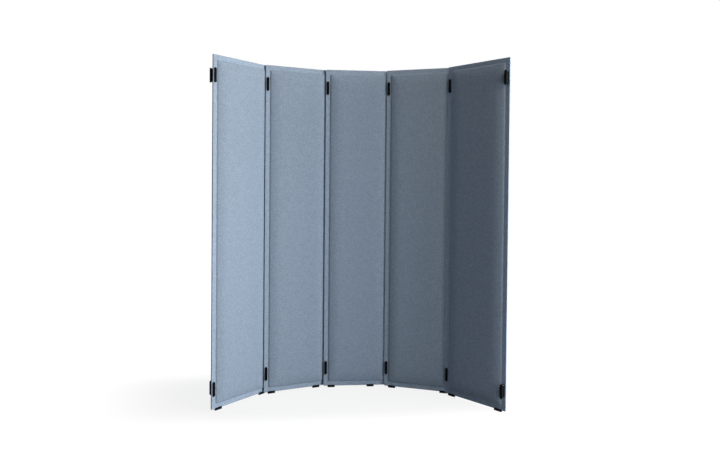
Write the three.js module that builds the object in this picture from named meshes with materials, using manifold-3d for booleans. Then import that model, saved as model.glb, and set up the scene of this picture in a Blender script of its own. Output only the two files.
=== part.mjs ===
// Folding acoustic screen: five padded felt panels joined by clip hinges.
// Millimetres, +Z up, the front faces -Y, the middle panel lies along X.

import * as THREE from 'three';
import { mergeVertices } from 'three/addons/utils/BufferGeometryUtils.js';
import Module from 'manifold-3d';

const wasm = await Module();
wasm.setup();

// ---- Driving dimensions ----

// Panel: two equal moulded felt halves, bonded back to back
const panelWidth = 400;
const panelHeight = 1920;
const panelCornerRadius = 5;
const rimWidth = 26;
const rimThickness = 8;
const rimEdgeRound = 1.4;
const seamGap = 0.3;

// Pad: the raised cushion inside the pressed rim
const padRise = 12;
const padShoulder = 58;
const padShoulderPower = 3;
const padCrown = 3;
const padCornerRadius = 9;
const padCornerGrowth = 0.3;
const padCrownRings = [90];
const padShoulderSteps = [0.07, 0.18, 0.36, 0.62, 1];
const panelCornerSteps = 4;

// Clip hinge: bar, web through the rim slot, snap lugs, knuckles
const hingeInset = 13;
const hingeFromEnd = 111;
const rimGap = 12;
const barWidth = 15;
const barHeight = 80;
const barThickness = 6;
const barRound = 2.6;
const webWidth = 9.8;
const webHeight = 74;
const fitGap = 0.3;
const knuckleRadius = 4.7;
const knucklePitch = 16;
const knuckleGap = 0.4;
const lugReach = 1.1;
const lugLength = 3.2;
const knucklePlaces = [1.5, -0.5]; // in pitches above the middle: the first and third of four
const barCornerSteps = 3;
const slotCurveSteps = 3;
const knuckleCurveSteps = 4;

// Hinge pin
const pinRadius = 2;
const pinClearance = 0.3;
const pinHeadRadius = 3.6;
const pinHeadHeight = 1.6;
const pinTail = 1.5;
const pinChamfer = 0.5;
const pinSides = 8;

// Push-on foot
const footLength = 43;
const footGrip = 6;
const footSole = 9;
const footWall = 2.6;
const footChannelGap = 0.8;
const footRibHeight = 0.5;
const footRibWidth = 1.2;
const footRibHigh = 2.6;
const footSoleRound = 2.4;
const footLeadIn = 0.8;
const footBevel = 0.8;
const footCurveSteps = 2;
const leftFootCentre = 47; // from the panel's left edge
const rightFootCentres = [34, 73, 113, 42, 48]; // from the panel's right edge

// How the screen stands: turns between neighbours and swings of the free hinge halves, degrees
const foldTurns = [27, 18, 21, 30];
const rootPanel = 3;
const leftEndSwings = { top: 32, bottom: -16 };
const rightEndSwings = { top: -2, bottom: -7 };

// ---- Sizes that follow ----

const pinOffset = (rimThickness + rimGap) / 2;
const slotWidth = webWidth + 2 * fitGap;
const slotHeight = webHeight + 2 * fitGap;
const barBack = rimGap / 2 + rimThickness + fitGap;
const lugFace = rimGap / 2 - fitGap;
const hingeHeights = { top: panelHeight - hingeFromEnd, bottom: hingeFromEnd };

// How far the middle of a quarter round stands in from its two faces, as a share of the radius
const quarterRound = 1 - Math.SQRT1_2;

// How deep one form reaches into the next where the two are joined, and the least straight edge
const joinDepth = 1;
const hairline = 0.01;
const weldDistance = 1e-4;

// ---- Materials ----

const felt = { color: 0x808d9e, roughness: 0.95, metalness: 0 };
const plastic = { color: 0x16181b, roughness: 0.45, metalness: 0 };
const steel = { color: 0xb4b8bc, roughness: 0.35, metalness: 1 };

// ---- Solids ----

// A closed geometry as a solid that can be joined and cut
function toSolid(geometry) {
  const bare = geometry.clone();
  bare.deleteAttribute('normal');
  bare.deleteAttribute('uv');
  const merged = mergeVertices(bare, weldDistance);
  return new wasm.Manifold(new wasm.Mesh({
    numProp: 3,
    vertProperties: new Float32Array(merged.attributes.position.array),
    triVerts: new Uint32Array(merged.index.array),
  }));
}

function toGeometry(solid) {
  const { vertProperties, triVerts } = solid.getMesh();
  const geometry = new THREE.BufferGeometry();
  geometry.setAttribute('position', new THREE.BufferAttribute(vertProperties, 3));
  geometry.setIndex(new THREE.BufferAttribute(triVerts, 1));
  geometry.computeVertexNormals();
  return geometry;
}

// Rings of equal point counts become one closed body with flat ends
function loft(rings) {
  const count = rings[0].length;
  const positions = rings.flatMap((ring) => ring.flatMap((p) => [p.x, p.y, p.z]));
  const indices = [];
  for (let r = 0; r < rings.length - 1; r += 1) {
    for (let i = 0; i < count; i += 1) {
      const a = r * count + i;
      const b = r * count + ((i + 1) % count);
      indices.push(a, b, b + count, a, b + count, a + count);
    }
  }
  const last = (rings.length - 1) * count;
  for (let i = 1; i < count - 1; i += 1) {
    indices.push(0, i + 1, i);
    indices.push(last, last + i, last + i + 1);
  }
  const geometry = new THREE.BufferGeometry();
  geometry.setAttribute('position', new THREE.Float32BufferAttribute(positions, 3));
  geometry.setIndex(indices);
  return geometry;
}

// A rounded rectangle in the X-Z plane at depth y, its points anticlockwise as seen from the front
function roundedRing(centreX, centreZ, width, height, radius, cornerSteps, y) {
  const points = [];
  const corners = [[1, -1, -90], [1, 1, 0], [-1, 1, 90], [-1, -1, 180]];
  for (const [sideX, sideZ, startDegrees] of corners) {
    const cornerX = centreX + sideX * (width / 2 - radius);
    const cornerZ = centreZ + sideZ * (height / 2 - radius);
    for (let i = 0; i <= cornerSteps; i += 1) {
      const angle = THREE.MathUtils.degToRad(startDegrees + (90 * i) / cornerSteps);
      const x = cornerX + radius * Math.cos(angle);
      points.push(new THREE.Vector3(x, y, cornerZ + radius * Math.sin(angle)));
    }
  }
  return points;
}

// An upright round-ended prism, the form of the rim slots and of the web that fills them
function stadiumPrism(width, height, frontY, backY) {
  const half = width / 2;
  const shape = new THREE.Shape();
  shape.absarc(0, height / 2 - half, half, 0, Math.PI, false);
  shape.absarc(0, half - height / 2, half, Math.PI, 2 * Math.PI, false);
  shape.closePath();
  const prism = new THREE.ExtrudeGeometry(shape, {
    depth: backY - frontY,
    bevelEnabled: false,
    curveSegments: slotCurveSteps,
  });
  prism.rotateX(Math.PI / 2);
  prism.translate(0, backY, 0);
  return prism;
}

// ---- Felt half ----

// Height of the pad above the rim face, at a distance from the foot of its slope
function padHeight(fromFoot) {
  const slope = Math.min(fromFoot / padShoulder, 1);
  const middle = panelWidth / 2 - rimWidth;
  const towardsMiddle = Math.min(fromFoot / middle, 1);
  const shoulder = padRise * (1 - (1 - slope) ** padShoulderPower);
  return shoulder + padCrown * (1 - (1 - towardsMiddle) ** 2);
}

function panelRing(inset, radius, y) {
  const width = panelWidth - 2 * inset;
  const height = panelHeight - 2 * inset;
  return roundedRing(panelWidth / 2, panelHeight / 2, width, height, radius, panelCornerSteps, y);
}

// The front half of a panel, its flat back on the glue line, with the four hinge slots
function feltHalfGeometry() {
  const rimFace = -rimThickness / 2;
  const edgeMiddle = rimEdgeRound * quarterRound;
  const rings = [
    panelRing(0, panelCornerRadius, -seamGap / 2),
    panelRing(0, panelCornerRadius, rimFace + rimEdgeRound),
    panelRing(edgeMiddle, panelCornerRadius, rimFace + edgeMiddle),
    panelRing(rimEdgeRound, panelCornerRadius, rimFace),
    panelRing(rimWidth, padCornerRadius, rimFace),
  ];
  const padInsets = [...padShoulderSteps.map((step) => step * padShoulder), ...padCrownRings];
  for (const inset of padInsets) {
    const radius = padCornerRadius + padCornerGrowth * inset;
    rings.push(panelRing(rimWidth + inset, radius, rimFace - padHeight(inset)));
  }
  let half = toSolid(loft(rings));
  for (const x of [hingeInset, panelWidth - hingeInset]) {
    for (const z of Object.values(hingeHeights)) {
      const slot = stadiumPrism(slotWidth, slotHeight, -rimThickness, rimThickness);
      slot.translate(x, 0, z);
      half = half.subtract(toSolid(slot));
    }
  }
  return toGeometry(half);
}

// ---- Hinge half ----

// The bar that bears on the rim: flat back, rounded front edges
function hingeBarGeometry() {
  const edgeMiddle = barRound * quarterRound;
  const steps = [
    { inset: 0, depth: 0 },
    { inset: 0, depth: barThickness - barRound },
    { inset: edgeMiddle, depth: barThickness - edgeMiddle },
    { inset: barRound, depth: barThickness },
  ];
  const rings = steps.map(({ inset, depth }) => {
    const width = barWidth - 2 * inset;
    const height = barHeight - 2 * inset;
    return roundedRing(0, 0, width, height, width / 2 - hairline, barCornerSteps, -barBack - depth);
  });
  return loft(rings);
}

// One knuckle with its two snap lugs, seen from above, round the pin at the origin
function knuckleShape() {
  const root = -lugFace - fitGap - joinDepth;
  const shape = new THREE.Shape();
  shape.moveTo(-knuckleRadius, root);
  shape.lineTo(knuckleRadius, root);
  shape.lineTo(knuckleRadius, -lugFace);
  shape.lineTo(knuckleRadius + lugReach, -lugFace);
  shape.lineTo(knuckleRadius, lugLength - lugFace);
  shape.absarc(0, 0, knuckleRadius, 0, Math.PI, false);
  shape.lineTo(-knuckleRadius, lugLength - lugFace);
  shape.lineTo(-knuckleRadius - lugReach, -lugFace);
  shape.lineTo(-knuckleRadius, -lugFace);
  shape.closePath();
  const bore = new THREE.Path();
  bore.absarc(0, 0, pinRadius + pinClearance, 0, 2 * Math.PI, true);
  shape.holes.push(bore);
  return shape;
}

// Bar in front, knuckles one and three of the four behind it
function hingeHalfGeometry() {
  const length = knucklePitch - knuckleGap;
  const web = stadiumPrism(webWidth, webHeight, -barBack - joinDepth, -lugFace);
  let half = toSolid(hingeBarGeometry()).add(toSolid(web));
  for (const place of knucklePlaces) {
    const knuckle = new THREE.ExtrudeGeometry(knuckleShape(), {
      depth: length,
      bevelEnabled: false,
      curveSegments: knuckleCurveSteps,
    });
    knuckle.translate(0, 0, place * knucklePitch - length / 2);
    half = half.add(toSolid(knuckle));
  }
  return toGeometry(half);
}

function hingePinGeometry() {
  const headUnderside = 2 * knucklePitch - knuckleGap / 2 + fitGap;
  const tail = -2 * knucklePitch - pinTail;
  const profile = [
    new THREE.Vector2(0, tail),
    new THREE.Vector2(pinRadius - pinChamfer, tail),
    new THREE.Vector2(pinRadius, tail + pinChamfer),
    new THREE.Vector2(pinRadius, headUnderside),
    new THREE.Vector2(pinHeadRadius, headUnderside),
    new THREE.Vector2(pinHeadRadius, headUnderside + pinHeadHeight / 2),
    new THREE.Vector2(pinHeadRadius - pinHeadHeight / 2, headUnderside + pinHeadHeight),
    new THREE.Vector2(0, headUnderside + pinHeadHeight),
  ];
  const pin = new THREE.LatheGeometry(profile, pinSides);
  pin.rotateX(Math.PI / 2);
  return pin;
}

// ---- Push-on foot ----

// Section of the foot: a solid sole below a channel with a grip rib on each wall
function footShape() {
  const channel = rimThickness / 2 + footChannelGap;
  const outside = channel + footWall;
  const top = footSole + footGrip;
  const floor = footSole - fitGap;
  const rib = footSole + footRibHigh;
  const shape = new THREE.Shape();
  shape.moveTo(-outside + footSoleRound, 0);
  shape.lineTo(outside - footSoleRound, 0);
  shape.absarc(outside - footSoleRound, footSoleRound, footSoleRound, -Math.PI / 2, 0, false);
  shape.lineTo(outside, top);
  shape.lineTo(channel + footLeadIn, top);
  shape.lineTo(channel, top - footLeadIn);
  shape.lineTo(channel, rib + footRibWidth / 2);
  shape.lineTo(channel - footRibHeight, rib);
  shape.lineTo(channel, rib - footRibWidth / 2);
  shape.lineTo(channel, floor);
  shape.lineTo(-channel, floor);
  shape.lineTo(-channel, rib - footRibWidth / 2);
  shape.lineTo(-channel + footRibHeight, rib);
  shape.lineTo(-channel, rib + footRibWidth / 2);
  shape.lineTo(-channel, top - footLeadIn);
  shape.lineTo(-channel - footLeadIn, top);
  shape.lineTo(-outside, top);
  shape.lineTo(-outside, footSoleRound);
  shape.absarc(-outside + footSoleRound, footSoleRound, footSoleRound, Math.PI, Math.PI * 1.5, false);
  return shape;
}

function footGeometry() {
  const foot = new THREE.ExtrudeGeometry(footShape(), {
    depth: footLength - 2 * footBevel,
    bevelEnabled: true,
    bevelSize: footBevel,
    bevelOffset: -footBevel,
    bevelThickness: footBevel,
    bevelSegments: 1,
    curveSegments: footCurveSteps,
  });
  foot.translate(0, 0, footBevel - footLength / 2);
  foot.rotateX(Math.PI / 2);
  foot.rotateZ(Math.PI / 2);
  return foot;
}

// ---- Assembly ----

const feltHalf = feltHalfGeometry();
const hingeHalf = hingeHalfGeometry();
const hingePin = hingePinGeometry();
const foot = footGeometry();

function addMesh(parent, name, geometry, surface) {
  const mesh = new THREE.Mesh(geometry, new THREE.MeshStandardMaterial(surface));
  mesh.name = name;
  parent.add(mesh);
  return mesh;
}

// A panel with its two halves and feet, its lower left corner at the group's origin
function makePanel(number) {
  const panel = new THREE.Group();
  const skins = new THREE.Group();
  skins.position.z = footSole;
  panel.add(skins);
  addMesh(skins, `panel_${number}_front_felt`, feltHalf, felt);
  const rear = addMesh(skins, `panel_${number}_rear_felt`, feltHalf, felt);
  rear.position.x = panelWidth;
  rear.rotation.z = Math.PI;
  const footCentres = { left: leftFootCentre, right: panelWidth - rightFootCentres[number - 1] };
  for (const [side, centre] of Object.entries(footCentres)) {
    addMesh(panel, `panel_${number}_${side}_foot`, foot, plastic).position.x = centre;
  }
  return panel;
}

// Where a hinge sits in its panel: behind the left rim, in front of the right rim
function hingeSeat(panel, side, level) {
  const seat = new THREE.Group();
  const left = side === 'left';
  const x = left ? hingeInset : panelWidth - hingeInset;
  seat.position.set(x, left ? pinOffset : -pinOffset, footSole + hingeHeights[level]);
  panel.add(seat);
  return seat;
}

// The half with its bar in front clamps a left rim, and the pin hangs in its top knuckle
function addFrontHalf(seat, name) {
  addMesh(seat, `${name}_front_half`, hingeHalf, plastic);
  addMesh(seat, `${name}_pin`, hingePin, steel);
}

// The same moulding turned over clamps a right rim, its bar behind
function addRearHalf(seat, name) {
  addMesh(seat, `${name}_rear_half`, hingeHalf, plastic).rotation.x = Math.PI;
}

// The next panel hangs on the pins in front of this panel's right rim
function hangRight(panel, next, degrees) {
  const pivot = new THREE.Group();
  pivot.position.set(panelWidth - hingeInset, -pinOffset, 0);
  pivot.rotation.z = -THREE.MathUtils.degToRad(degrees);
  next.position.set(-hingeInset, -pinOffset, 0);
  pivot.add(next);
  panel.add(pivot);
}

// The panel before hangs on the pins behind this panel's left rim
function hangLeft(panel, before, degrees) {
  const pivot = new THREE.Group();
  pivot.position.set(hingeInset, pinOffset, 0);
  pivot.rotation.z = THREE.MathUtils.degToRad(degrees);
  before.position.set(hingeInset - panelWidth, pinOffset, 0);
  pivot.add(before);
  panel.add(pivot);
}

function buildScreen() {
  const count = foldTurns.length + 1;
  const panels = Array.from({ length: count }, (unused, i) => makePanel(i + 1));
  const screen = new THREE.Group();
  screen.add(panels[rootPanel - 1]);
  for (let i = rootPanel - 1; i < count - 1; i += 1) hangRight(panels[i], panels[i + 1], foldTurns[i]);
  for (let i = rootPanel - 1; i > 0; i -= 1) hangLeft(panels[i], panels[i - 1], foldTurns[i - 1]);
  for (const level of Object.keys(hingeHeights)) {
    for (let i = 0; i < count - 1; i += 1) {
      const name = `hinge_${i + 1}_${i + 2}_${level}`;
      addRearHalf(hingeSeat(panels[i], 'right', level), name);
      addFrontHalf(hingeSeat(panels[i + 1], 'left', level), name);
    }
    const leftSeat = hingeSeat(panels[0], 'left', level);
    addFrontHalf(leftSeat, `left_end_${level}`);
    const leftSwing = new THREE.Group();
    leftSwing.rotation.z = THREE.MathUtils.degToRad(leftEndSwings[level]);
    leftSeat.add(leftSwing);
    addRearHalf(leftSwing, `left_end_${level}`);
    const rightSeat = hingeSeat(panels[count - 1], 'right', level);
    addRearHalf(rightSeat, `right_end_${level}`);
    const rightSwing = new THREE.Group();
    rightSwing.rotation.z = THREE.MathUtils.degToRad(rightEndSwings[level]);
    rightSeat.add(rightSwing);
    addFrontHalf(rightSwing, `right_end_${level}`);
  }
  return screen;
}

// The origin lies on the floor, under the middle of the whole screen
const screen = buildScreen();
screen.updateMatrixWorld(true);
const middle = new THREE.Box3().setFromObject(screen, true).getCenter(new THREE.Vector3());
screen.position.set(-middle.x, -middle.y, 0);

export default screen;
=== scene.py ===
import math

import bmesh
import bpy
from mathutils import Matrix, Vector


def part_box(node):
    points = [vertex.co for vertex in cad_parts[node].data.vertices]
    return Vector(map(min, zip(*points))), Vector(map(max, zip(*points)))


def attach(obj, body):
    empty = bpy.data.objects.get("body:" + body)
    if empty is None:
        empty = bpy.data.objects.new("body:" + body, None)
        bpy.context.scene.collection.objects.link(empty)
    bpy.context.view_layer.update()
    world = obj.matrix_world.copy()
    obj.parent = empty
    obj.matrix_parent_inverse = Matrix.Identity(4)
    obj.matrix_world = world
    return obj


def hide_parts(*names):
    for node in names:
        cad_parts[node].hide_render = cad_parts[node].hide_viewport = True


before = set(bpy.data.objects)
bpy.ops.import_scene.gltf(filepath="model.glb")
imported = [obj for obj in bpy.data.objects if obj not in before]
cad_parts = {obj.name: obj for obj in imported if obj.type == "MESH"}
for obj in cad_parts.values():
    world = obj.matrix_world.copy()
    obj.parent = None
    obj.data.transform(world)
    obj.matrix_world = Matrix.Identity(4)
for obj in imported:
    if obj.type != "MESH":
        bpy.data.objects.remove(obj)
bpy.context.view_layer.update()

mm = 0.001
weld = 0.01 * mm  # corners closer than this become one
fineWeld = 0.002 * mm

# How the screen stands, as in the solids: lengths in millimetres, angles in degrees
layout = {
    "panelWidth": 400.0,
    "panelHeight": 1920.0,
    "soleHeight": 9.0,
    "hingeInset": 13.0,
    "hingeFromEnd": 111.0,
    "pinOffset": 10.0,
    "seamGap": 0.3,
    "foldTurns": [27.0, 18.0, 21.0, 30.0],  # each joint's turn from straight
    "middlePanel": 3,
    "leftFootCentre": 47.0,
    "rightFootCentres": [366.0, 327.0, 287.0, 358.0, 352.0],  # from the panel's left edge
    "leftEndSwings": {"top": 32.0, "bottom": -16.0},
    "rightEndSwings": {"top": -2.0, "bottom": -7.0},
}


def shifted(x, y, z=0.0):
    return Matrix.Translation((x * mm, y * mm, z * mm))


def turned(degrees):
    return Matrix.Rotation(math.radians(degrees), 4, "Z")


def panelPlaces():  # the lower left corner of each panel, on its glue line
    middle = layout["middlePanel"]
    low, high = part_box(f"panel_{middle}_front_felt")
    inset, offset, width = layout["hingeInset"], layout["pinOffset"], layout["panelWidth"]
    start = Vector((low.x, high.y + layout["seamGap"] / 2 * mm, 0.0))
    places = {middle: Matrix.Translation(start)}
    for number in range(middle, len(layout["foldTurns"]) + 1):
        pin = places[number] @ shifted(width - inset, -offset)
        places[number + 1] = pin @ turned(-layout["foldTurns"][number - 1]) @ shifted(-inset, -offset)
    for number in range(middle, 1, -1):
        pin = places[number] @ shifted(inset, offset)
        turn = turned(layout["foldTurns"][number - 2])
        places[number - 1] = pin @ turn @ shifted(inset - width, offset)
    return places


places = panelPlaces()
panelCount = len(places)


def hingePlace(number, side, level):  # on the pin, half-way up the hinge
    inset, offset = layout["hingeInset"], layout["pinOffset"]
    height = layout["hingeFromEnd"]
    if level == "top":
        height = layout["panelHeight"] - height
    height += layout["soleHeight"]
    if side == "left":
        return places[number] @ shifted(inset, offset, height)
    return places[number] @ shifted(layout["panelWidth"] - inset, -offset, height)


def arcPoints(radius, first, sweep, steps):  # both ends of the arc are among its points
    turns = [math.radians(first + sweep * i / steps) for i in range(steps + 1)]
    return [(radius * math.cos(angle), radius * math.sin(angle)) for angle in turns]


def linkObject(name, mesh):
    piece = bpy.data.objects.new(name, mesh)
    bpy.context.scene.collection.objects.link(piece)
    return piece


def meshFromBm(name, bm, recalculate=True):
    bmesh.ops.remove_doubles(bm, verts=bm.verts, dist=weld)
    if recalculate:
        bmesh.ops.recalc_face_normals(bm, faces=bm.faces)
    mesh = bpy.data.meshes.new(name)
    bm.to_mesh(mesh)
    bm.free()
    return mesh


def evaluated(piece):  # the mesh that the modifiers give, as a plain mesh
    bpy.context.view_layer.update()
    graph = bpy.context.evaluated_depsgraph_get()
    return bpy.data.meshes.new_from_object(piece.evaluated_get(graph))


def bakeForm(piece):  # swaps a working object for its finished mesh
    mesh = evaluated(piece)
    bpy.data.objects.remove(piece)
    return mesh


def smoothBySharpness(mesh, degrees):
    mesh.shade_smooth()
    bm = bmesh.new()
    bm.from_mesh(mesh)
    limit = math.radians(degrees)
    for edge in bm.edges:
        edge.smooth = len(edge.link_faces) == 2 and edge.calc_face_angle(math.pi) < limit
    bm.to_mesh(mesh)
    bm.free()


def placedCopy(name, form, place, material, body, node):
    mesh = form.copy()
    mesh.name = name
    mesh.transform(place)
    mesh.materials.clear()
    mesh.materials.append(material)
    piece = linkObject(name, mesh)
    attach(piece, body)
    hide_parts(node)
    return piece


def addNode(tree, kind, values=None, **settings):
    node = tree.nodes.new(kind)
    for key, value in settings.items():
        setattr(node, key, value)
    for socket, value in (values or {}).items():
        node.inputs[socket].default_value = value
    return node


def newMaterial(name, values):
    material = bpy.data.materials.new(name)
    material.use_nodes = True
    tree = material.node_tree
    shader = tree.nodes["Principled BSDF"]
    for socket, value in values.items():
        shader.inputs[socket].default_value = value
    coords = addNode(tree, "ShaderNodeTexCoord")
    return material, tree, shader, coords.outputs["Object"]


def noise(tree, coords, scale, detail, roughness, distortion):
    node = addNode(tree, "ShaderNodeTexNoise", {
        "Scale": scale, "Detail": detail, "Roughness": roughness, "Distortion": distortion,
    })
    tree.links.new(coords, node.inputs["Vector"])
    return node.outputs["Fac"]


def ranged(tree, value, low, high, toLow, toHigh):
    node = addNode(tree, "ShaderNodeMapRange", {
        "From Min": low, "From Max": high, "To Min": toLow, "To Max": toHigh,
    })
    tree.links.new(value, node.inputs["Value"])
    return node.outputs["Result"]


def mathNode(tree, operation, *inputs):
    node = addNode(tree, "ShaderNodeMath", operation=operation)
    for index, value in enumerate(inputs):
        if isinstance(value, (int, float)):
            node.inputs[index].default_value = value
        else:
            tree.links.new(value, node.inputs[index])
    return node.outputs["Value"]


def mixColour(tree, factor, first, second, blend="MIX"):  # a Mix node's colour sockets go by number
    node = addNode(tree, "ShaderNodeMix", data_type="RGBA", blend_type=blend)
    for socket, value in ((node.inputs[0], factor), (node.inputs[6], first), (node.inputs[7], second)):
        if isinstance(value, (int, float)):
            socket.default_value = value
        elif isinstance(value, tuple):
            socket.default_value = (*value, 1.0)
        else:
            tree.links.new(value, socket)
    return node.outputs[2]


def bump(tree, height, depth, strength, below=None):
    node = addNode(tree, "ShaderNodeBump", {"Strength": strength, "Distance": depth * mm})
    tree.links.new(height, node.inputs["Height"])
    if below is not None:
        tree.links.new(below, node.inputs["Normal"])
    return node.outputs["Normal"]


# A noise is given as scale, detail, roughness and distortion, a relief as depth in millimetres
# and strength, a range as the low and the high end of what it reads
feltLook = {
    "base": (0.211, 0.259, 0.342),
    "darkFibre": (0.121, 0.152, 0.212),
    "lightFibre": (0.360, 0.417, 0.505),
    "fibres": (620.0, 3.0, 0.62, 1.6),
    "specks": (1500.0, 2.0, 0.7, 0.6),
    "mottles": (165.0, 3.0, 0.6, 0.4),
    "clouds": (38.0, 3.0, 0.55, 0.0),
    "darkRange": (0.36, 0.50),
    "darkShare": 0.75,
    "lightRange": (0.55, 0.70),
    "lightShare": 0.60,
    "mottleRange": (0.35, 0.65),
    "mottle": 0.17,
    "cloudRange": (0.3, 0.7),
    "cloud": 0.03,
    # pressed rim felt is a little paler than the pad; the rest of this lift is painted light that draws
    # the rim lighter still
    "rimLiftWithPaintedLight": 1.18,
    "roughness": 0.93,
    "shine": 0.22,
    "sheen": 0.16,
    "sheenRoughness": 0.55,
    "sheenTint": (0.72, 0.80, 0.92, 1.0),
    "waveRelief": (0.8, 0.5),
    "matRelief": (0.35, 0.55),
    "fuzzRelief": (0.16, 0.5),
}


def varied(tree, value, span, amount):  # a multiplier that swings by the amount round one
    return ranged(tree, value, *span, 1 - amount, 1 + amount)


def makeFelt():
    look = feltLook
    material, tree, shader, coords = newMaterial("melangeFelt", {
        "Roughness": look["roughness"], "Specular IOR Level": look["shine"],
        "Sheen Weight": look["sheen"], "Sheen Roughness": look["sheenRoughness"],
        "Sheen Tint": look["sheenTint"],
    })
    fibres, specks, mottles, clouds = (
        noise(tree, coords, *look[name]) for name in ("fibres", "specks", "mottles", "clouds"))
    dark = ranged(tree, fibres, *look["darkRange"], look["darkShare"], 0.0)
    light = ranged(tree, specks, *look["lightRange"], 0.0, look["lightShare"])
    colour = mixColour(tree, dark, look["base"], look["darkFibre"])
    colour = mixColour(tree, light, colour, look["lightFibre"])
    tone = mathNode(tree, "MULTIPLY", varied(tree, clouds, look["cloudRange"], look["cloud"]),
                    varied(tree, mottles, look["mottleRange"], look["mottle"]))
    # the rim is drawn lighter than the pad: partly the pressed felt's paler tone, partly painted light
    pad = addNode(tree, "ShaderNodeAttribute", attribute_name="padShare").outputs["Fac"]
    tone = mathNode(tree, "MULTIPLY", tone, ranged(tree, pad, 0.0, 1.0, look["rimLiftWithPaintedLight"], 1.0))
    shade = addNode(tree, "ShaderNodeCombineColor")
    for channel in ("Red", "Green", "Blue"):
        tree.links.new(tone, shade.inputs[channel])
    colour = mixColour(tree, 1.0, colour, shade.outputs["Color"], "MULTIPLY")
    tree.links.new(colour, shader.inputs["Base Color"])
    waves = bump(tree, clouds, *look["waveRelief"])
    matted = bump(tree, fibres, *look["matRelief"], waves)
    fuzz = bump(tree, specks, *look["fuzzRelief"], matted)
    tree.links.new(fuzz, shader.inputs["Normal"])
    return material


plasticLook = {
    "base": (0.0022, 0.0026, 0.0036),
    "worn": (0.006, 0.007, 0.010),
    "wornRange": (0.545, 0.60),
    "shine": 0.022,
    "smears": (90.0, 4.0, 0.6, 0.8),
    "smearRange": (0.3, 0.7),
    "smearShare": 0.05,
    "roughness": (0.38, 0.50),
    "grain": (2600.0, 3.0, 0.6, 0.0),
    "grainRelief": (0.05, 0.45),
}


def makePlastic():
    look = plasticLook
    gloss = {"Specular IOR Level": look["shine"]}
    material, tree, shader, coords = newMaterial("blackMouldedPlastic", gloss)
    grain = noise(tree, coords, *look["grain"])
    smears = noise(tree, coords, *look["smears"])
    edges = addNode(tree, "ShaderNodeNewGeometry").outputs["Pointiness"]
    worn = mathNode(tree, "ADD", edges, mathNode(tree, "MULTIPLY", smears, look["smearShare"]))
    wear = ranged(tree, worn, *look["wornRange"], 0.0, 1.0)
    tree.links.new(mixColour(tree, wear, look["base"], look["worn"]), shader.inputs["Base Color"])
    satin = ranged(tree, smears, *look["smearRange"], *look["roughness"])
    tree.links.new(satin, shader.inputs["Roughness"])
    tree.links.new(bump(tree, grain, *look["grainRelief"]), shader.inputs["Normal"])
    return material


steelLook = {
    "base": (0.44, 0.45, 0.47),
    "dull": (0.30, 0.31, 0.33),
    "stains": (160.0, 3.0, 0.6, 0.0),
    "stainRange": (0.45, 0.7),
    "stainShare": 0.7,
    "drawn": (2400.0, 3.0, 0.6, 0.0),
    "drawnAlong": 0.04,
    "drawnRange": (0.3, 0.7),
    "roughness": (0.24, 0.40),
    "drawnRelief": (0.03, 0.4),
}


def makeSteel():
    look = steelLook
    material, tree, shader, coords = newMaterial("drawnSteel", {"Metallic": 1.0})
    stretch = addNode(tree, "ShaderNodeMapping", {"Scale": (1.0, 1.0, look["drawnAlong"])})
    tree.links.new(coords, stretch.inputs["Vector"])
    drawn = noise(tree, stretch.outputs["Vector"], *look["drawn"])
    stains = noise(tree, coords, *look["stains"])
    stained = ranged(tree, stains, *look["stainRange"], 0.0, look["stainShare"])
    tree.links.new(mixColour(tree, stained, look["base"], look["dull"]), shader.inputs["Base Color"])
    brushed = ranged(tree, drawn, *look["drawnRange"], *look["roughness"])
    tree.links.new(brushed, shader.inputs["Roughness"])
    tree.links.new(bump(tree, drawn, *look["drawnRelief"]), shader.inputs["Normal"])
    return material


felt = makeFelt()
plastic = makePlastic()
steel = makeSteel()
print("materials made")


feltHalf = {  # in millimetres; rim insets from the panel's edge, pad insets from the pad's foot
    "cornerRadius": 5.0,
    "rimWidth": 26.0,
    "rimThickness": 8.0,
    "edgeRound": 1.4,
    "edgeSteps": 4,
    "padCornerRadius": 9.0,
    "cornerGrowth": 0.3,
    "wallRise": 3.0,
    "wallRun": 8.0,
    "wallPower": 2.0,
    "shoulderRise": 9.4,
    "shoulderRun": 62.0,
    "shoulderPower": 2.0,
    "crown": 2.6,
    "rimInsets": [4.0, 13.0, 22.0, 24.6, 26.0],
    "padInsets": [0.35, 0.8, 1.4, 2.1, 3.0, 4.1, 5.6, 7.6, 10.0, 13.0, 17.0, 22.0, 28.0, 35.0,
                  43.0, 52.0, 62.0, 76.0, 94.0, 114.0, 136.0, 158.0],
    "shortSteps": 15,
    "longSteps": 150,
    "cornerSteps": 6,
    "leastFlat": 0.5,
    # how far into the pad the rim's lighter tone, partly painted light, fades out
    "toneRun": 5.0,
    "slotWidth": 10.4,
    "slotHeight": 74.6,
    "slotSteps": 12,
    "softBelow": 38.0,
    "fill": 0.8,
}


def halfOutline(width, height, radius, spec):  # bottom middle, up the right side, top middle
    flat, rise = width / 2 - radius, height - 2 * radius
    low, high = radius - height / 2, height / 2 - radius
    across, along = spec["shortSteps"], spec["longSteps"]
    lower = arcPoints(radius, -90.0, 90.0, spec["cornerSteps"])[:-1]
    upper = arcPoints(radius, 0.0, 90.0, spec["cornerSteps"])[:-1]
    points = [(flat * i / across, -height / 2) for i in range(across)]
    points += [(flat + x, low + z) for x, z in lower]
    points += [(width / 2, low + rise * i / along) for i in range(along)]
    points += [(flat + x, high + z) for x, z in upper]
    points += [(flat * (1 - i / across), height / 2) for i in range(across + 1)]
    return points


def panelRing(inset, radius, spec):  # the whole ring, mirrored about the panel's middle
    width = layout["panelWidth"] - 2 * inset
    height = layout["panelHeight"] - 2 * inset
    radius = min(radius, width / 2 - spec["leastFlat"])
    right = halfOutline(width, height, radius, spec)
    left = [(-x, z) for x, z in reversed(right[1:-1])]
    middleX, middleZ = layout["panelWidth"] / 2, layout["panelHeight"] / 2
    return [(middleX + x, middleZ + z) for x, z in right + left]


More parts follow.
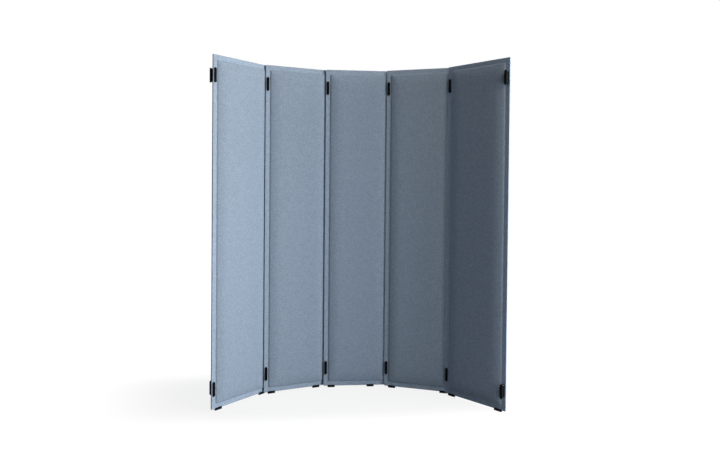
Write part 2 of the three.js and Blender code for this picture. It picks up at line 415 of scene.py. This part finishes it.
def flatHalf(spec):  # front half before the pad is raised, with each point's inset stored
    face = -spec["rimThickness"] / 2
    back = -layout["seamGap"] / 2
    rings = [(0.0, spec["cornerRadius"], back)]
    for i in range(spec["edgeSteps"] + 1):
        angle = math.radians(90 * i / spec["edgeSteps"])
        inset = spec["edgeRound"] * (1 - math.cos(angle))
        rings.append((inset, spec["cornerRadius"], face + spec["edgeRound"] * (1 - math.sin(angle))))
    for inset in spec["rimInsets"]:
        share = inset / spec["rimWidth"]
        radius = spec["cornerRadius"] + share * (spec["padCornerRadius"] - spec["cornerRadius"])
        rings.append((inset, radius, face))
    for inset in spec["padInsets"]:
        radius = spec["padCornerRadius"] + spec["cornerGrowth"] * inset
        rings.append((spec["rimWidth"] + inset, radius, face))
    bm = bmesh.new()
    insetLayer = bm.verts.layers.float.new("inset")
    rows = []
    for inset, radius, y in rings:
        row = []
        for x, z in panelRing(inset, radius, spec):
            vertex = bm.verts.new((x * mm, y * mm, z * mm))
            vertex[insetLayer] = inset
            row.append(vertex)
        rows.append(row)
    count = len(rows[0])
    for lower, upper in zip(rows, rows[1:]):
        for i in range(count):
            j = (i + 1) % count
            bm.faces.new((lower[i], lower[j], upper[j], upper[i]))
    for row in (rows[0], rows[-1]):  # rungs from side to side close the back and the pad's middle
        for i in range(count // 2):
            corners = [row[i], row[i + 1], row[count - i - 1], row[(count - i) % count]]
            corners = list(dict.fromkeys(corners))  # the first and last rungs are triangles
            if row is rows[0]:
                corners.reverse()
            bm.faces.new(corners)
    return meshFromBm("flatHalf", bm, recalculate=False)


skinSwell = {
    "columns": 24,
    "rows": 128,
    "pressure": 4.0,
    "frames": 20,
    "quality": 5,
    "mass": 0.3,
    "stiffness": 12.0,
    "cap": 9.0,
    "endShare": 1 / 6,
}


def padSize(pad):
    return layout["panelWidth"] - 2 * pad["rimWidth"], layout["panelHeight"] - 2 * pad["rimWidth"]


def swellSkin(spec, pad):  # a felt skin held round the pad's foot swells under the filling
    width, height = padSize(pad)
    columns, rows = spec["columns"], spec["rows"]
    stepX, stepZ = width / columns * mm, height / rows * mm
    bm = bmesh.new()
    grid = []
    for r in range(rows + 1):
        grid.append([bm.verts.new((c * stepX, 0.0, r * stepZ)) for c in range(columns + 1)])
    for r in range(rows):
        for c in range(columns):
            bm.faces.new((grid[r][c], grid[r][c + 1], grid[r + 1][c + 1], grid[r + 1][c]))
    skin = linkObject("swellingSkin", meshFromBm("swellingSkin", bm, recalculate=False))
    held = skin.vertex_groups.new(name="held")
    edge = [v.index for v in skin.data.vertices
            if min(v.co.x, width * mm - v.co.x, v.co.z, height * mm - v.co.z) < weld]
    held.add(edge, 1.0, "REPLACE")
    cloth = skin.modifiers.new("swell", "CLOTH")
    settings = cloth.settings
    settings.quality = spec["quality"]
    settings.mass = spec["mass"]
    settings.tension_stiffness = spec["stiffness"]
    settings.compression_stiffness = spec["stiffness"]
    settings.vertex_group_mass = "held"
    settings.use_pressure = True
    settings.uniform_pressure_force = spec["pressure"]
    settings.effector_weights.gravity = 0.0
    cloth.point_cache.frame_start = 1
    cloth.point_cache.frame_end = spec["frames"]
    scene = bpy.context.scene
    for number in range(1, spec["frames"] + 1):
        scene.frame_set(number)
    mesh = evaluated(skin)
    swell = [[0.0] * (columns + 1) for unused in range(rows + 1)]
    for vertex in mesh.vertices:
        r, c = divmod(vertex.index, columns + 1)
        swell[r][c] = min(abs(vertex.co.y) / mm, spec["cap"])
    scene.frame_set(1)
    bpy.data.objects.remove(skin)
    return swell


def storeSwell(mesh, swell, spec, pad):
    highest = max(max(row) for row in swell)
    print("swell before scaling, mm:", round(highest, 2))
    width, height = padSize(pad)
    layer = mesh.attributes.new("swell", "FLOAT", "POINT")
    for vertex in mesh.vertices:
        u = (vertex.co.x / mm - pad["rimWidth"]) / width * spec["columns"]
        v = (vertex.co.z / mm - pad["rimWidth"]) / height * spec["rows"]
        onPad = 0 < u < spec["columns"] and 0 < v < spec["rows"]
        if not onPad or vertex.co.y > -pad["edgeRound"] * mm:
            continue
        c, r = int(u), int(v)
        fu, fv = u - c, v - r
        low = swell[r][c] * (1 - fu) + swell[r][c + 1] * fu
        high = swell[r + 1][c] * (1 - fu) + swell[r + 1][c + 1] * fu
        layer.data[vertex.index].value = (low * (1 - fv) + high * fv) / highest


def geometryTree(name, inputs):
    tree = bpy.data.node_groups.new(name, "GeometryNodeTree")
    tree.interface.new_socket("Geometry", in_out="INPUT", socket_type="NodeSocketGeometry")
    tree.interface.new_socket("Geometry", in_out="OUTPUT", socket_type="NodeSocketGeometry")
    identifiers = {}
    for label, kind in inputs.items():
        socket = tree.interface.new_socket(label, in_out="INPUT", socket_type=kind)
        identifiers[label] = socket.identifier
    start = tree.nodes.new("NodeGroupInput")
    end = tree.nodes.new("NodeGroupOutput")
    return tree, identifiers, start, end


def useTree(piece, tree, identifiers, values):
    modifier = piece.modifiers.new(tree.name, "NODES")
    modifier.node_group = tree
    for label, value in values.items():
        modifier[identifiers[label]] = value


def finishTree(tree, start, end, geometry):  # real geometry with its material, as the export needs
    joined = addNode(tree, "GeometryNodeRealizeInstances")
    tree.links.new(geometry, joined.inputs["Geometry"])
    finish = addNode(tree, "GeometryNodeSetMaterial")
    tree.links.new(joined.outputs["Geometry"], finish.inputs["Geometry"])
    tree.links.new(start.outputs["Finish"], finish.inputs["Material"])
    tree.links.new(finish.outputs["Geometry"], end.inputs["Geometry"])


def easedRise(tree, start, depth, rise, run, power):  # rise * (1 - (1 - depth / run) ^ power)
    share = mathNode(tree, "MINIMUM", mathNode(tree, "DIVIDE", depth, start.outputs[run]), 1.0)
    left = mathNode(tree, "POWER", mathNode(tree, "SUBTRACT", 1.0, share), start.outputs[power])
    return mathNode(tree, "MULTIPLY", mathNode(tree, "SUBTRACT", 1.0, left), start.outputs[rise])


def storedValue(tree, name):
    node = addNode(tree, "GeometryNodeInputNamedAttribute", {"Name": name}, data_type="FLOAT")
    return node.outputs["Attribute"]


def padReliefTree():  # raises the pad by its rule: a steep wall, a long soft shoulder and the crown
    sizes = ("Rim width", "Wall rise", "Wall run", "Wall power", "Shoulder rise", "Shoulder run",
             "Shoulder power", "Crown", "Tone run")
    inputs = {label: "NodeSocketFloat" for label in sizes}
    inputs["Finish"] = "NodeSocketMaterial"
    tree, identifiers, start, end = geometryTree("padRelief", inputs)
    inset, swell = storedValue(tree, "inset"), storedValue(tree, "swell")
    depth = mathNode(tree, "MAXIMUM", mathNode(tree, "SUBTRACT", inset, start.outputs["Rim width"]), 0.0)
    wall = easedRise(tree, start, depth, "Wall rise", "Wall run", "Wall power")
    shoulder = easedRise(tree, start, depth, "Shoulder rise", "Shoulder run", "Shoulder power")
    crown = mathNode(tree, "MULTIPLY", swell, start.outputs["Crown"])
    rise = mathNode(tree, "ADD", mathNode(tree, "ADD", wall, shoulder), crown)
    offset = addNode(tree, "ShaderNodeCombineXYZ")
    tree.links.new(mathNode(tree, "MULTIPLY", rise, -mm), offset.inputs["Y"])
    raised = addNode(tree, "GeometryNodeSetPosition")
    tree.links.new(start.outputs["Geometry"], raised.inputs["Geometry"])
    tree.links.new(offset.outputs["Vector"], raised.inputs["Offset"])
    # padShare marks rim against pad for the felt's lighter rim, which is partly painted light
    share = addNode(tree, "ShaderNodeMapRange", {"From Min": 0.0}, interpolation_type="SMOOTHSTEP")
    tree.links.new(depth, share.inputs["Value"])
    tree.links.new(start.outputs["Tone run"], share.inputs["From Max"])
    stored = addNode(tree, "GeometryNodeStoreNamedAttribute", {"Name": "padShare"},
                     data_type="FLOAT", domain="POINT")
    tree.links.new(raised.outputs["Geometry"], stored.inputs["Geometry"])
    tree.links.new(share.outputs["Result"], stored.inputs["Value"])
    finishTree(tree, start, end, stored.outputs["Geometry"])
    return tree, identifiers


def stadiumOutline(width, height, steps):  # an upright round-ended slot, anticlockwise from the front
    radius = width / 2
    points = []
    for centre, first in ((height / 2 - radius, 0.0), (radius - height / 2, 180.0)):
        points += [(x, centre + z) for x, z in arcPoints(radius, first, 180.0, steps)]
    return points


def prism(outline, nearY, farY):  # an outline in X and Z carried from nearY to farY
    bm = bmesh.new()
    near = [bm.verts.new((x * mm, nearY * mm, z * mm)) for x, z in outline]
    far = [bm.verts.new((x * mm, farY * mm, z * mm)) for x, z in outline]
    bm.faces.new(near)
    bm.faces.new(list(reversed(far)))
    for i in range(len(outline)):
        j = (i + 1) % len(outline)
        bm.faces.new((near[j], near[i], far[i], far[j]))
    return bm


def cutForm(mesh, cutters, operation="DIFFERENCE"):
    piece = linkObject("cutForm", mesh)
    for cutter in cutters:
        modifier = piece.modifiers.new("cut", "BOOLEAN")
        modifier.solver = "EXACT"
        modifier.operation = operation
        modifier.object = cutter
    result = bakeForm(piece)
    for cutter in cutters:
        bpy.data.objects.remove(cutter)
    return result


def slotCutters(spec):
    cutters = []
    outline = stadiumOutline(spec["slotWidth"], spec["slotHeight"], spec["slotSteps"])
    for x in (layout["hingeInset"], layout["panelWidth"] - layout["hingeInset"]):
        for z in (layout["hingeFromEnd"], layout["panelHeight"] - layout["hingeFromEnd"]):
            mesh = meshFromBm("slot", prism(outline, -spec["rimThickness"], spec["rimThickness"]))
            mesh.transform(shifted(x, 0.0, z))
            cutters.append(linkObject("slot", mesh))
    return cutters


def makeFeltHalf(spec):
    sheet = flatHalf(spec)
    swell = swellSkin(skinSwell, spec)
    storeSwell(sheet, swell, skinSwell, spec)
    tree, identifiers = padReliefTree()
    piece = linkObject("feltHalf", sheet)
    useTree(piece, tree, identifiers, {
        "Rim width": spec["rimWidth"],
        "Wall rise": spec["wallRise"], "Wall run": spec["wallRun"], "Wall power": spec["wallPower"],
        "Shoulder rise": spec["shoulderRise"], "Shoulder run": spec["shoulderRun"],
        "Shoulder power": spec["shoulderPower"],
        "Crown": spec["crown"], "Tone run": spec["toneRun"], "Finish": felt,
    })
    raised = bakeForm(piece)
    form = cutForm(raised, slotCutters(spec))
    smoothBySharpness(form, spec["softBelow"])
    return form


feltForm = makeFeltHalf(feltHalf)
for number, place in places.items():
    body = f"panel_{number}"
    front = place @ shifted(0.0, 0.0, layout["soleHeight"])
    rear = place @ shifted(layout["panelWidth"], 0.0, layout["soleHeight"]) @ turned(180.0)
    for side, where in (("front", front), ("rear", rear)):
        node = f"{body}_{side}_felt"
        piece = placedCopy(f"{node}_skin", feltForm, where, felt, body, node)
print("felt halves made:", len(feltForm.polygons), "faces each")


hingeHalf = {  # bar and web ends lie this far from the pin's axis, along Y
    "barWidth": 15.0,
    "barHeight": 80.0,
    "barFar": -20.3,
    "barNear": -14.3,
    "barRound": 2.6,
    "barBackRound": 0.35,
    "barSteps": 16,
    "backSteps": 2,
    "roundSteps": 6,
    "webWidth": 9.8,
    "webHeight": 74.0,
    "webEnd": -5.7,
    "knuckleRadius": 4.7,
    "knuckleLength": 15.6,
    "knucklePitch": 16.0,
    "knuckles": 2,
    "knuckleEdge": 0.35,
    "knuckleSteps": 28,
    "boreRadius": 2.3,
    "boreSteps": 24,
    "lugReach": 1.1,
    "lugLength": 3.2,
    "lugNose": 0.3,
    "knuckleRoot": 1.3,
    "webRoot": 1.0,
    "softBelow": 32.0,
}


def loftBm(rings):  # closed rings of equal counts, capped with flat ends
    bm = bmesh.new()
    rows = [[bm.verts.new((x * mm, y * mm, z * mm)) for x, y, z in ring] for ring in rings]
    count = len(rows[0])
    for lower, upper in zip(rows, rows[1:]):
        for i in range(count):
            j = (i + 1) % count
            bm.faces.new((lower[i], lower[j], upper[j], upper[i]))
    bm.faces.new(list(reversed(rows[0])))
    bm.faces.new(rows[-1])
    return bm


def barMesh(spec):  # flat back with a broken edge, front edge well rounded
    rings = []
    for x, y in arcPoints(1.0, 0.0, 90.0, spec["backSteps"]):
        back = spec["barBackRound"]
        rings.append((back * (1 - y), spec["barNear"] - back * (1 - x)))
    for x, y in arcPoints(1.0, 0.0, 90.0, spec["roundSteps"]):
        front = spec["barRound"]
        rings.append((front * (1 - x), spec["barFar"] + front * (1 - y)))
    loft = []
    for inset, y in rings:
        width, height = spec["barWidth"] - 2 * inset, spec["barHeight"] - 2 * inset
        outline = stadiumOutline(width, height, spec["barSteps"])
        loft.append([(x, y, z) for x, z in outline])
    return meshFromBm("bar", loftBm(loft))


def extrudedCurve(name, outlines, halfLength, edge, turn, edgeSteps=2):  # a section with rounded ends
    curve = bpy.data.curves.new(name, "CURVE")
    curve.dimensions = "2D"
    curve.fill_mode = "BOTH"
    for outline in outlines:
        spline = curve.splines.new("POLY")
        spline.points.add(len(outline) - 1)
        for point, (x, y) in zip(spline.points, outline):
            point.co = (x * mm, y * mm, 0.0, 1.0)
        spline.use_cyclic_u = True
    curve.offset = -edge * mm
    curve.bevel_depth = edge * mm
    curve.bevel_resolution = edgeSteps
    curve.extrude = (halfLength - edge) * mm
    piece = linkObject(name, curve)
    mesh = evaluated(piece)
    bpy.data.objects.remove(piece)
    mesh.transform(turn)
    bm = bmesh.new()
    bm.from_mesh(mesh)
    bmesh.ops.remove_doubles(bm, verts=bm.verts, dist=fineWeld)
    bmesh.ops.dissolve_degenerate(bm, edges=bm.edges, dist=fineWeld)
    bmesh.ops.recalc_face_normals(bm, faces=bm.faces)
    bm.to_mesh(mesh)
    bm.free()
    return mesh


def knuckleSection(spec):  # the barrel with its root and the two snap lugs, seen from above
    radius, lug = spec["knuckleRadius"], spec["lugReach"]
    face, root = spec["webEnd"], spec["webEnd"] - spec["knuckleRoot"]
    nose = face + spec["lugNose"]
    right = [(radius, root), (radius, face), (radius + lug, face), (radius + lug, nose),
             (radius, face + spec["lugLength"])]
    left = [(-x, y) for x, y in reversed(right)]
    arc = arcPoints(radius, 0.0, 180.0, spec["knuckleSteps"])
    bore = arcPoints(spec["boreRadius"], 0.0, -360.0, spec["boreSteps"])[:-1]
    return [right + arc + left, bore]


def knuckleRowTree(knuckle):  # sets equal knuckles in a row up the web
    tree, identifiers, start, end = geometryTree("knuckleRow", {
        "Count": "NodeSocketInt", "First height": "NodeSocketFloat", "Pitch": "NodeSocketFloat",
        "Finish": "NodeSocketMaterial",
    })
    first = addNode(tree, "ShaderNodeCombineXYZ")
    step = addNode(tree, "ShaderNodeCombineXYZ")
    tree.links.new(start.outputs["First height"], first.inputs["Z"])
    tree.links.new(start.outputs["Pitch"], step.inputs["Z"])
    line = addNode(tree, "GeometryNodeMeshLine", mode="OFFSET")
    tree.links.new(start.outputs["Count"], line.inputs["Count"])
    tree.links.new(first.outputs["Vector"], line.inputs["Start Location"])
    tree.links.new(step.outputs["Vector"], line.inputs["Offset"])
    source = addNode(tree, "GeometryNodeObjectInfo", {"Object": knuckle})
    spread = addNode(tree, "GeometryNodeInstanceOnPoints")
    tree.links.new(line.outputs["Mesh"], spread.inputs["Points"])
    tree.links.new(source.outputs["Geometry"], spread.inputs["Instance"])
    finishTree(tree, start, end, spread.outputs["Instances"])
    return tree, identifiers


def makeHingeHalf(spec):
    bar = barMesh(spec)
    webOutline = stadiumOutline(spec["webWidth"], spec["webHeight"], spec["barSteps"])
    web = meshFromBm("web", prism(webOutline, spec["barNear"] - spec["webRoot"], spec["webEnd"]))
    barrel = extrudedCurve("knuckle", knuckleSection(spec), spec["knuckleLength"] / 2,
                           spec["knuckleEdge"], Matrix.Identity(4))
    knuckle = linkObject("knuckle", barrel)
    tree, identifiers = knuckleRowTree(knuckle)
    row = linkObject("knuckleRow", bpy.data.meshes.new("knuckleRow"))
    pitch = spec["knucklePitch"] * mm
    useTree(row, tree, identifiers, {  # every second place is the other half's
        "Count": spec["knuckles"], "First height": -0.5 * pitch, "Pitch": 2 * pitch, "Finish": plastic,
    })
    rowMesh = bakeForm(row)
    bpy.data.objects.remove(knuckle)
    form = cutForm(bar, [linkObject("web", web), linkObject("knuckles", rowMesh)], "UNION")
    smoothBySharpness(form, spec["softBelow"])
    return form


pinForm = {  # heights from the middle of the hinge
    "radius": 2.0,
    "headRadius": 3.6,
    "headHeight": 1.6,
    "headUnder": 32.1,
    "tail": -33.5,
    "chamfer": 0.5,
    "neck": 0.3,
    "edge": 0.15,
    "headRim": 0.6,
    "sides": 32,
    "domeSteps": 5,
    "softBelow": 30.0,
}


def makePin(spec):  # a turned pin: domed head, plain shank, chamfered tail
    radius, headRadius, under, edge = spec["radius"], spec["headRadius"], spec["headUnder"], spec["edge"]
    profile = [(0.0, spec["tail"]), (radius - spec["chamfer"], spec["tail"]),
               (radius, spec["tail"] + spec["chamfer"]), (radius, under - spec["neck"]),
               (radius + edge, under), (headRadius - edge, under), (headRadius, under + edge)]
    shoulder = under + spec["headRim"]
    rise = under + spec["headHeight"] - shoulder
    dome = arcPoints(1.0, 0.0, 90.0, spec["domeSteps"])[:-1]
    profile += [(headRadius * x, shoulder + rise * z) for x, z in dome]
    profile.append((0.0, shoulder + rise))
    bm = bmesh.new()
    rows = []
    for reach, z in profile:
        circle = arcPoints(reach, 0.0, 360.0, spec["sides"])[:-1] if reach > 0 else [(0.0, 0.0)]
        rows.append([bm.verts.new((x * mm, y * mm, z * mm)) for x, y in circle])
    for lower, upper in zip(rows, rows[1:]):
        for i in range(spec["sides"]):
            j = (i + 1) % spec["sides"]
            corners = [row[k % len(row)] for row, k in ((lower, i), (lower, j), (upper, j), (upper, i))]
            bm.faces.new(list(dict.fromkeys(corners)))
    mesh = meshFromBm("pin", bm)
    smoothBySharpness(mesh, spec["softBelow"])
    return mesh


hingeForm = makeHingeHalf(hingeHalf)
pinMesh = makePin(pinForm)
overTurn = Matrix.Rotation(math.pi, 4, "X")


def placeHalf(node, seat, body, over):
    where = seat @ overTurn if over else seat
    placedCopy(f"{node}_moulding", hingeForm, where, plastic, body, node)


def placePin(node, seat, body):
    placedCopy(f"{node}_turned", pinMesh, seat, steel, body, node)


for level in ("top", "bottom"):
    for number in range(1, panelCount):
        name = f"hinge_{number}_{number + 1}_{level}"
        placeHalf(f"{name}_rear_half", hingePlace(number, "right", level), f"panel_{number}", True)
        seat = hingePlace(number + 1, "left", level)
        placeHalf(f"{name}_front_half", seat, f"panel_{number + 1}", False)
        placePin(f"{name}_pin", seat, f"panel_{number + 1}")
    leftSeat = hingePlace(1, "left", level)
    placeHalf(f"left_end_{level}_front_half", leftSeat, "panel_1", False)
    placePin(f"left_end_{level}_pin", leftSeat, "panel_1")
    leftFree = leftSeat @ turned(layout["leftEndSwings"][level])
    placeHalf(f"left_end_{level}_rear_half", leftFree, f"left_end_{level}_free", True)
    rightSeat = hingePlace(panelCount, "right", level)
    placeHalf(f"right_end_{level}_rear_half", rightSeat, f"panel_{panelCount}", True)
    rightFree = rightSeat @ turned(layout["rightEndSwings"][level])
    placeHalf(f"right_end_{level}_front_half", rightFree, f"right_end_{level}_free", False)
    placePin(f"right_end_{level}_pin", rightFree, f"right_end_{level}_free")
print("hinges made:", len(hingeForm.polygons), "faces a half,", len(pinMesh.polygons), "a pin")


footForm = {  # heights from the floor
    "length": 43.0,
    "channelHalf": 4.8,
    "wall": 2.6,
    "floor": 8.7,
    "top": 15.0,
    "soleRound": 2.4,
    "soleSteps": 6,
    "leadIn": 0.8,
    "ribHigh": 11.6,
    "ribHeight": 0.5,
    "ribWidth": 1.2,
    "edge": 0.7,
    "softBelow": 32.0,
}


def footSection(spec):
    inner, outer, sole = spec["channelHalf"], spec["channelHalf"] + spec["wall"], spec["soleRound"]
    right = [(outer - sole + x, sole + z) for x, z in arcPoints(sole, -90.0, 90.0, spec["soleSteps"])]
    top, rib, ribReach = spec["top"], spec["ribHigh"], spec["ribWidth"] / 2
    right += [(outer, top), (inner + spec["leadIn"], top), (inner, top - spec["leadIn"]),
              (inner, rib + ribReach), (inner - spec["ribHeight"], rib), (inner, rib - ribReach),
              (inner, spec["floor"])]
    return [right + [(-x, y) for x, y in reversed(right)]]


def makeFoot(spec):  # the section lies in Y and Z and runs along X
    turn = Matrix(((0, 0, 1, 0), (1, 0, 0, 0), (0, 1, 0, 0), (0, 0, 0, 1)))
    mesh = extrudedCurve("foot", footSection(spec), spec["length"] / 2, spec["edge"], turn)
    smoothBySharpness(mesh, spec["softBelow"])
    return mesh


footMesh = makeFoot(footForm)
for number, place in places.items():
    centres = {"left": layout["leftFootCentre"], "right": layout["rightFootCentres"][number - 1]}
    for side, centre in centres.items():
        body, where = f"panel_{number}", place @ shifted(centre, 0.0)
        node = f"{body}_{side}_foot"
        placedCopy(f"{node}_moulding", footMesh, where, plastic, body, node)
print("feet made:", len(footMesh.polygons), "faces each")


studio = {  # in metres; the lamps below too, with their powers in watts
    "floorSize": 24.0,
    "lampAim": (0.0, 0.0, 1.0),
    "floorColour": (0.20, 0.205, 0.215),
    "seenFloorColour": (0.085, 0.085, 0.09),
    # the glow is lowered within this reach round the feet: a painted soft shadow on the floor
    "shadowCentre": (-0.20, 0.09),
    "shadowReach": (1.70, 0.58),
    "shadowGlow": 0.845,
    "openGlow": 1.0,
    "fade": (0.40, 0.90),
    "squareness": 4.0,
    "ambient": (0.86, 0.93, 1.0),
    "ambientStrength": 0.03,
}


def seenShare(tree):  # one for rays that show the background: camera, mirror and glass rays
    path = addNode(tree, "ShaderNodeLightPath")
    seen = mathNode(tree, "MAXIMUM", path.outputs["Is Camera Ray"], path.outputs["Is Glossy Ray"])
    return mathNode(tree, "MAXIMUM", seen, path.outputs["Is Transmission Ray"])


def makeFloorMaterial():  # white by its own glow; near the feet the glow dips, a painted soft shadow, and the real shadows show over it
    material = bpy.data.materials.new("paleFloor")
    material.use_nodes = True
    tree = material.node_tree
    tree.nodes.clear()
    seen = seenShare(tree)
    matte = addNode(tree, "ShaderNodeBsdfDiffuse")
    colour = mixColour(tree, seen, studio["floorColour"], studio["seenFloorColour"])
    tree.links.new(colour, matte.inputs["Color"])
    split = addNode(tree, "ShaderNodeSeparateXYZ")
    tree.links.new(addNode(tree, "ShaderNodeTexCoord").outputs["Object"], split.inputs["Vector"])
    spans = []
    for axis, centre, reach in zip("XY", studio["shadowCentre"], studio["shadowReach"]):
        offset = mathNode(tree, "SUBTRACT", split.outputs[axis], centre)
        share = mathNode(tree, "ABSOLUTE", mathNode(tree, "DIVIDE", offset, reach))
        spans.append(mathNode(tree, "POWER", share, studio["squareness"]))
    away = mathNode(tree, "POWER", mathNode(tree, "ADD", *spans), 1 / studio["squareness"])
    fadeStart, fadeEnd = studio["fade"]
    # the glow dips towards the feet: painted shadow, over which the real shadow also falls
    rise = addNode(tree, "ShaderNodeMapRange", {
        "From Min": fadeStart, "From Max": fadeEnd,
        "To Min": studio["shadowGlow"], "To Max": studio["openGlow"],
    }, interpolation_type="SMOOTHSTEP")
    tree.links.new(away, rise.inputs["Value"])
    glow = addNode(tree, "ShaderNodeEmission")
    tree.links.new(mathNode(tree, "MULTIPLY", seen, rise.outputs["Result"]), glow.inputs["Strength"])
    both = addNode(tree, "ShaderNodeAddShader")
    tree.links.new(matte.outputs["BSDF"], both.inputs[0])
    tree.links.new(glow.outputs["Emission"], both.inputs[1])
    output = addNode(tree, "ShaderNodeOutputMaterial")
    tree.links.new(both.outputs["Shader"], output.inputs["Surface"])
    return material


def makeFloor():
    bm = bmesh.new()
    half = studio["floorSize"] / 2
    corners = ((-half, -half), (half, -half), (half, half), (-half, half))
    bm.faces.new([bm.verts.new((x, y, 0.0)) for x, y in corners])
    floor = linkObject("studioFloor", meshFromBm("studioFloor", bm))
    floor.data.materials.append(makeFloorMaterial())


def makeWorld():
    world = bpy.data.worlds.new("whiteStudio")
    world.use_nodes = True
    tree = world.node_tree
    tree.nodes.clear()
    output = addNode(tree, "ShaderNodeOutputWorld")
    white = addNode(tree, "ShaderNodeBackground", {"Color": (1.0, 1.0, 1.0, 1.0), "Strength": 1.0})
    ambient = addNode(tree, "ShaderNodeBackground", {
        "Color": (*studio["ambient"], 1.0), "Strength": studio["ambientStrength"],
    })
    mix = addNode(tree, "ShaderNodeMixShader")
    tree.links.new(seenShare(tree), mix.inputs[0])
    tree.links.new(ambient.outputs["Background"], mix.inputs[1])
    tree.links.new(white.outputs["Background"], mix.inputs[2])
    tree.links.new(mix.outputs["Shader"], output.inputs["Surface"])
    bpy.context.scene.world = world


lamps = {
    "keyRight": {"at": (3.37, -0.97, 1.81), "size": (1.5, 1.7), "power": 130.0,
                 "colour": (1.0, 0.93, 0.76)},
    "keyLow": {"at": (3.23, -1.44, 0.31), "size": (1.6, 1.1), "power": 138.0,
               "colour": (0.83, 0.92, 1.0)},
    "keyFront": {"at": (2.7, -2.34, 1.44), "size": (1.4, 2.2), "power": 71.0,
                 "colour": (0.90, 0.99, 1.0)},
    "highFront": {"at": (1.62, -2.23, 3.31), "size": (1.4, 1.2), "power": 27.0,
                  "colour": (1.0, 0.84, 0.55)},
    "overhead": {"at": (0.0, -0.5, 4.6), "size": (2.6, 2.2), "power": 38.0,
                 "colour": (0.88, 0.98, 1.0)},
    "rearFill": {"at": (-1.4, 3.6, 1.9), "size": (2.2, 1.8), "power": 70.0,
                 "colour": (0.97, 0.98, 1.0)},
    "lowFront": {"at": (0.9, -3.05, 0.25), "size": (2.8, 0.5), "power": 14.0,
                 "colour": (0.86, 0.94, 1.0)},
}


def makeLamp(name, spec):
    light = bpy.data.lights.new(name, "AREA")
    light.shape = "RECTANGLE"
    light.size, light.size_y = spec["size"]
    light.energy = spec["power"]
    light.color = spec["colour"]
    lamp = linkObject(name, light)
    lamp.location = spec["at"]
    aim = Vector(studio["lampAim"]) - lamp.location
    lamp.rotation_euler = aim.to_track_quat("-Z", "Y").to_euler()


cameraSetup = {  # fitted to the panels' edges in the photograph; millimetres, degrees and pixels
    "at": (-382.83, -3301.73, 1226.06),
    "yaw": 4.737,
    "pitchDown": 0.951,
    "roll": 0.5,
    "focalPixels": 582.56,
    "centrePixel": (336.38, 195.83),
    "imageSize": (720.0, 457.0),
    "sensorWidth": 36.0,
    "clip": (0.05, 60.0),
}


def makeCamera(spec):
    camera = bpy.data.cameras.new("photoView")
    width, height = spec["imageSize"]
    camera.sensor_width = spec["sensorWidth"]
    camera.lens = spec["focalPixels"] / width * camera.sensor_width
    camera.shift_x = (width / 2 - spec["centrePixel"][0]) / width
    camera.shift_y = (spec["centrePixel"][1] - height / 2) / width
    camera.clip_start, camera.clip_end = spec["clip"]
    holder = linkObject("photoView", camera)
    turn = (Matrix.Rotation(math.radians(-spec["yaw"]), 4, "Z")
            @ Matrix.Rotation(math.radians(90.0 - spec["pitchDown"]), 4, "X")
            @ Matrix.Rotation(math.radians(spec["roll"]), 4, "Z"))
    holder.matrix_world = Matrix.Translation([value * mm for value in spec["at"]]) @ turn
    bpy.context.scene.camera = holder


makeFloor()
makeWorld()
for name, spec in lamps.items():
    makeLamp(name, spec)
makeCamera(cameraSetup)
bpy.context.scene.view_settings.view_transform = "Standard"
print("studio made")
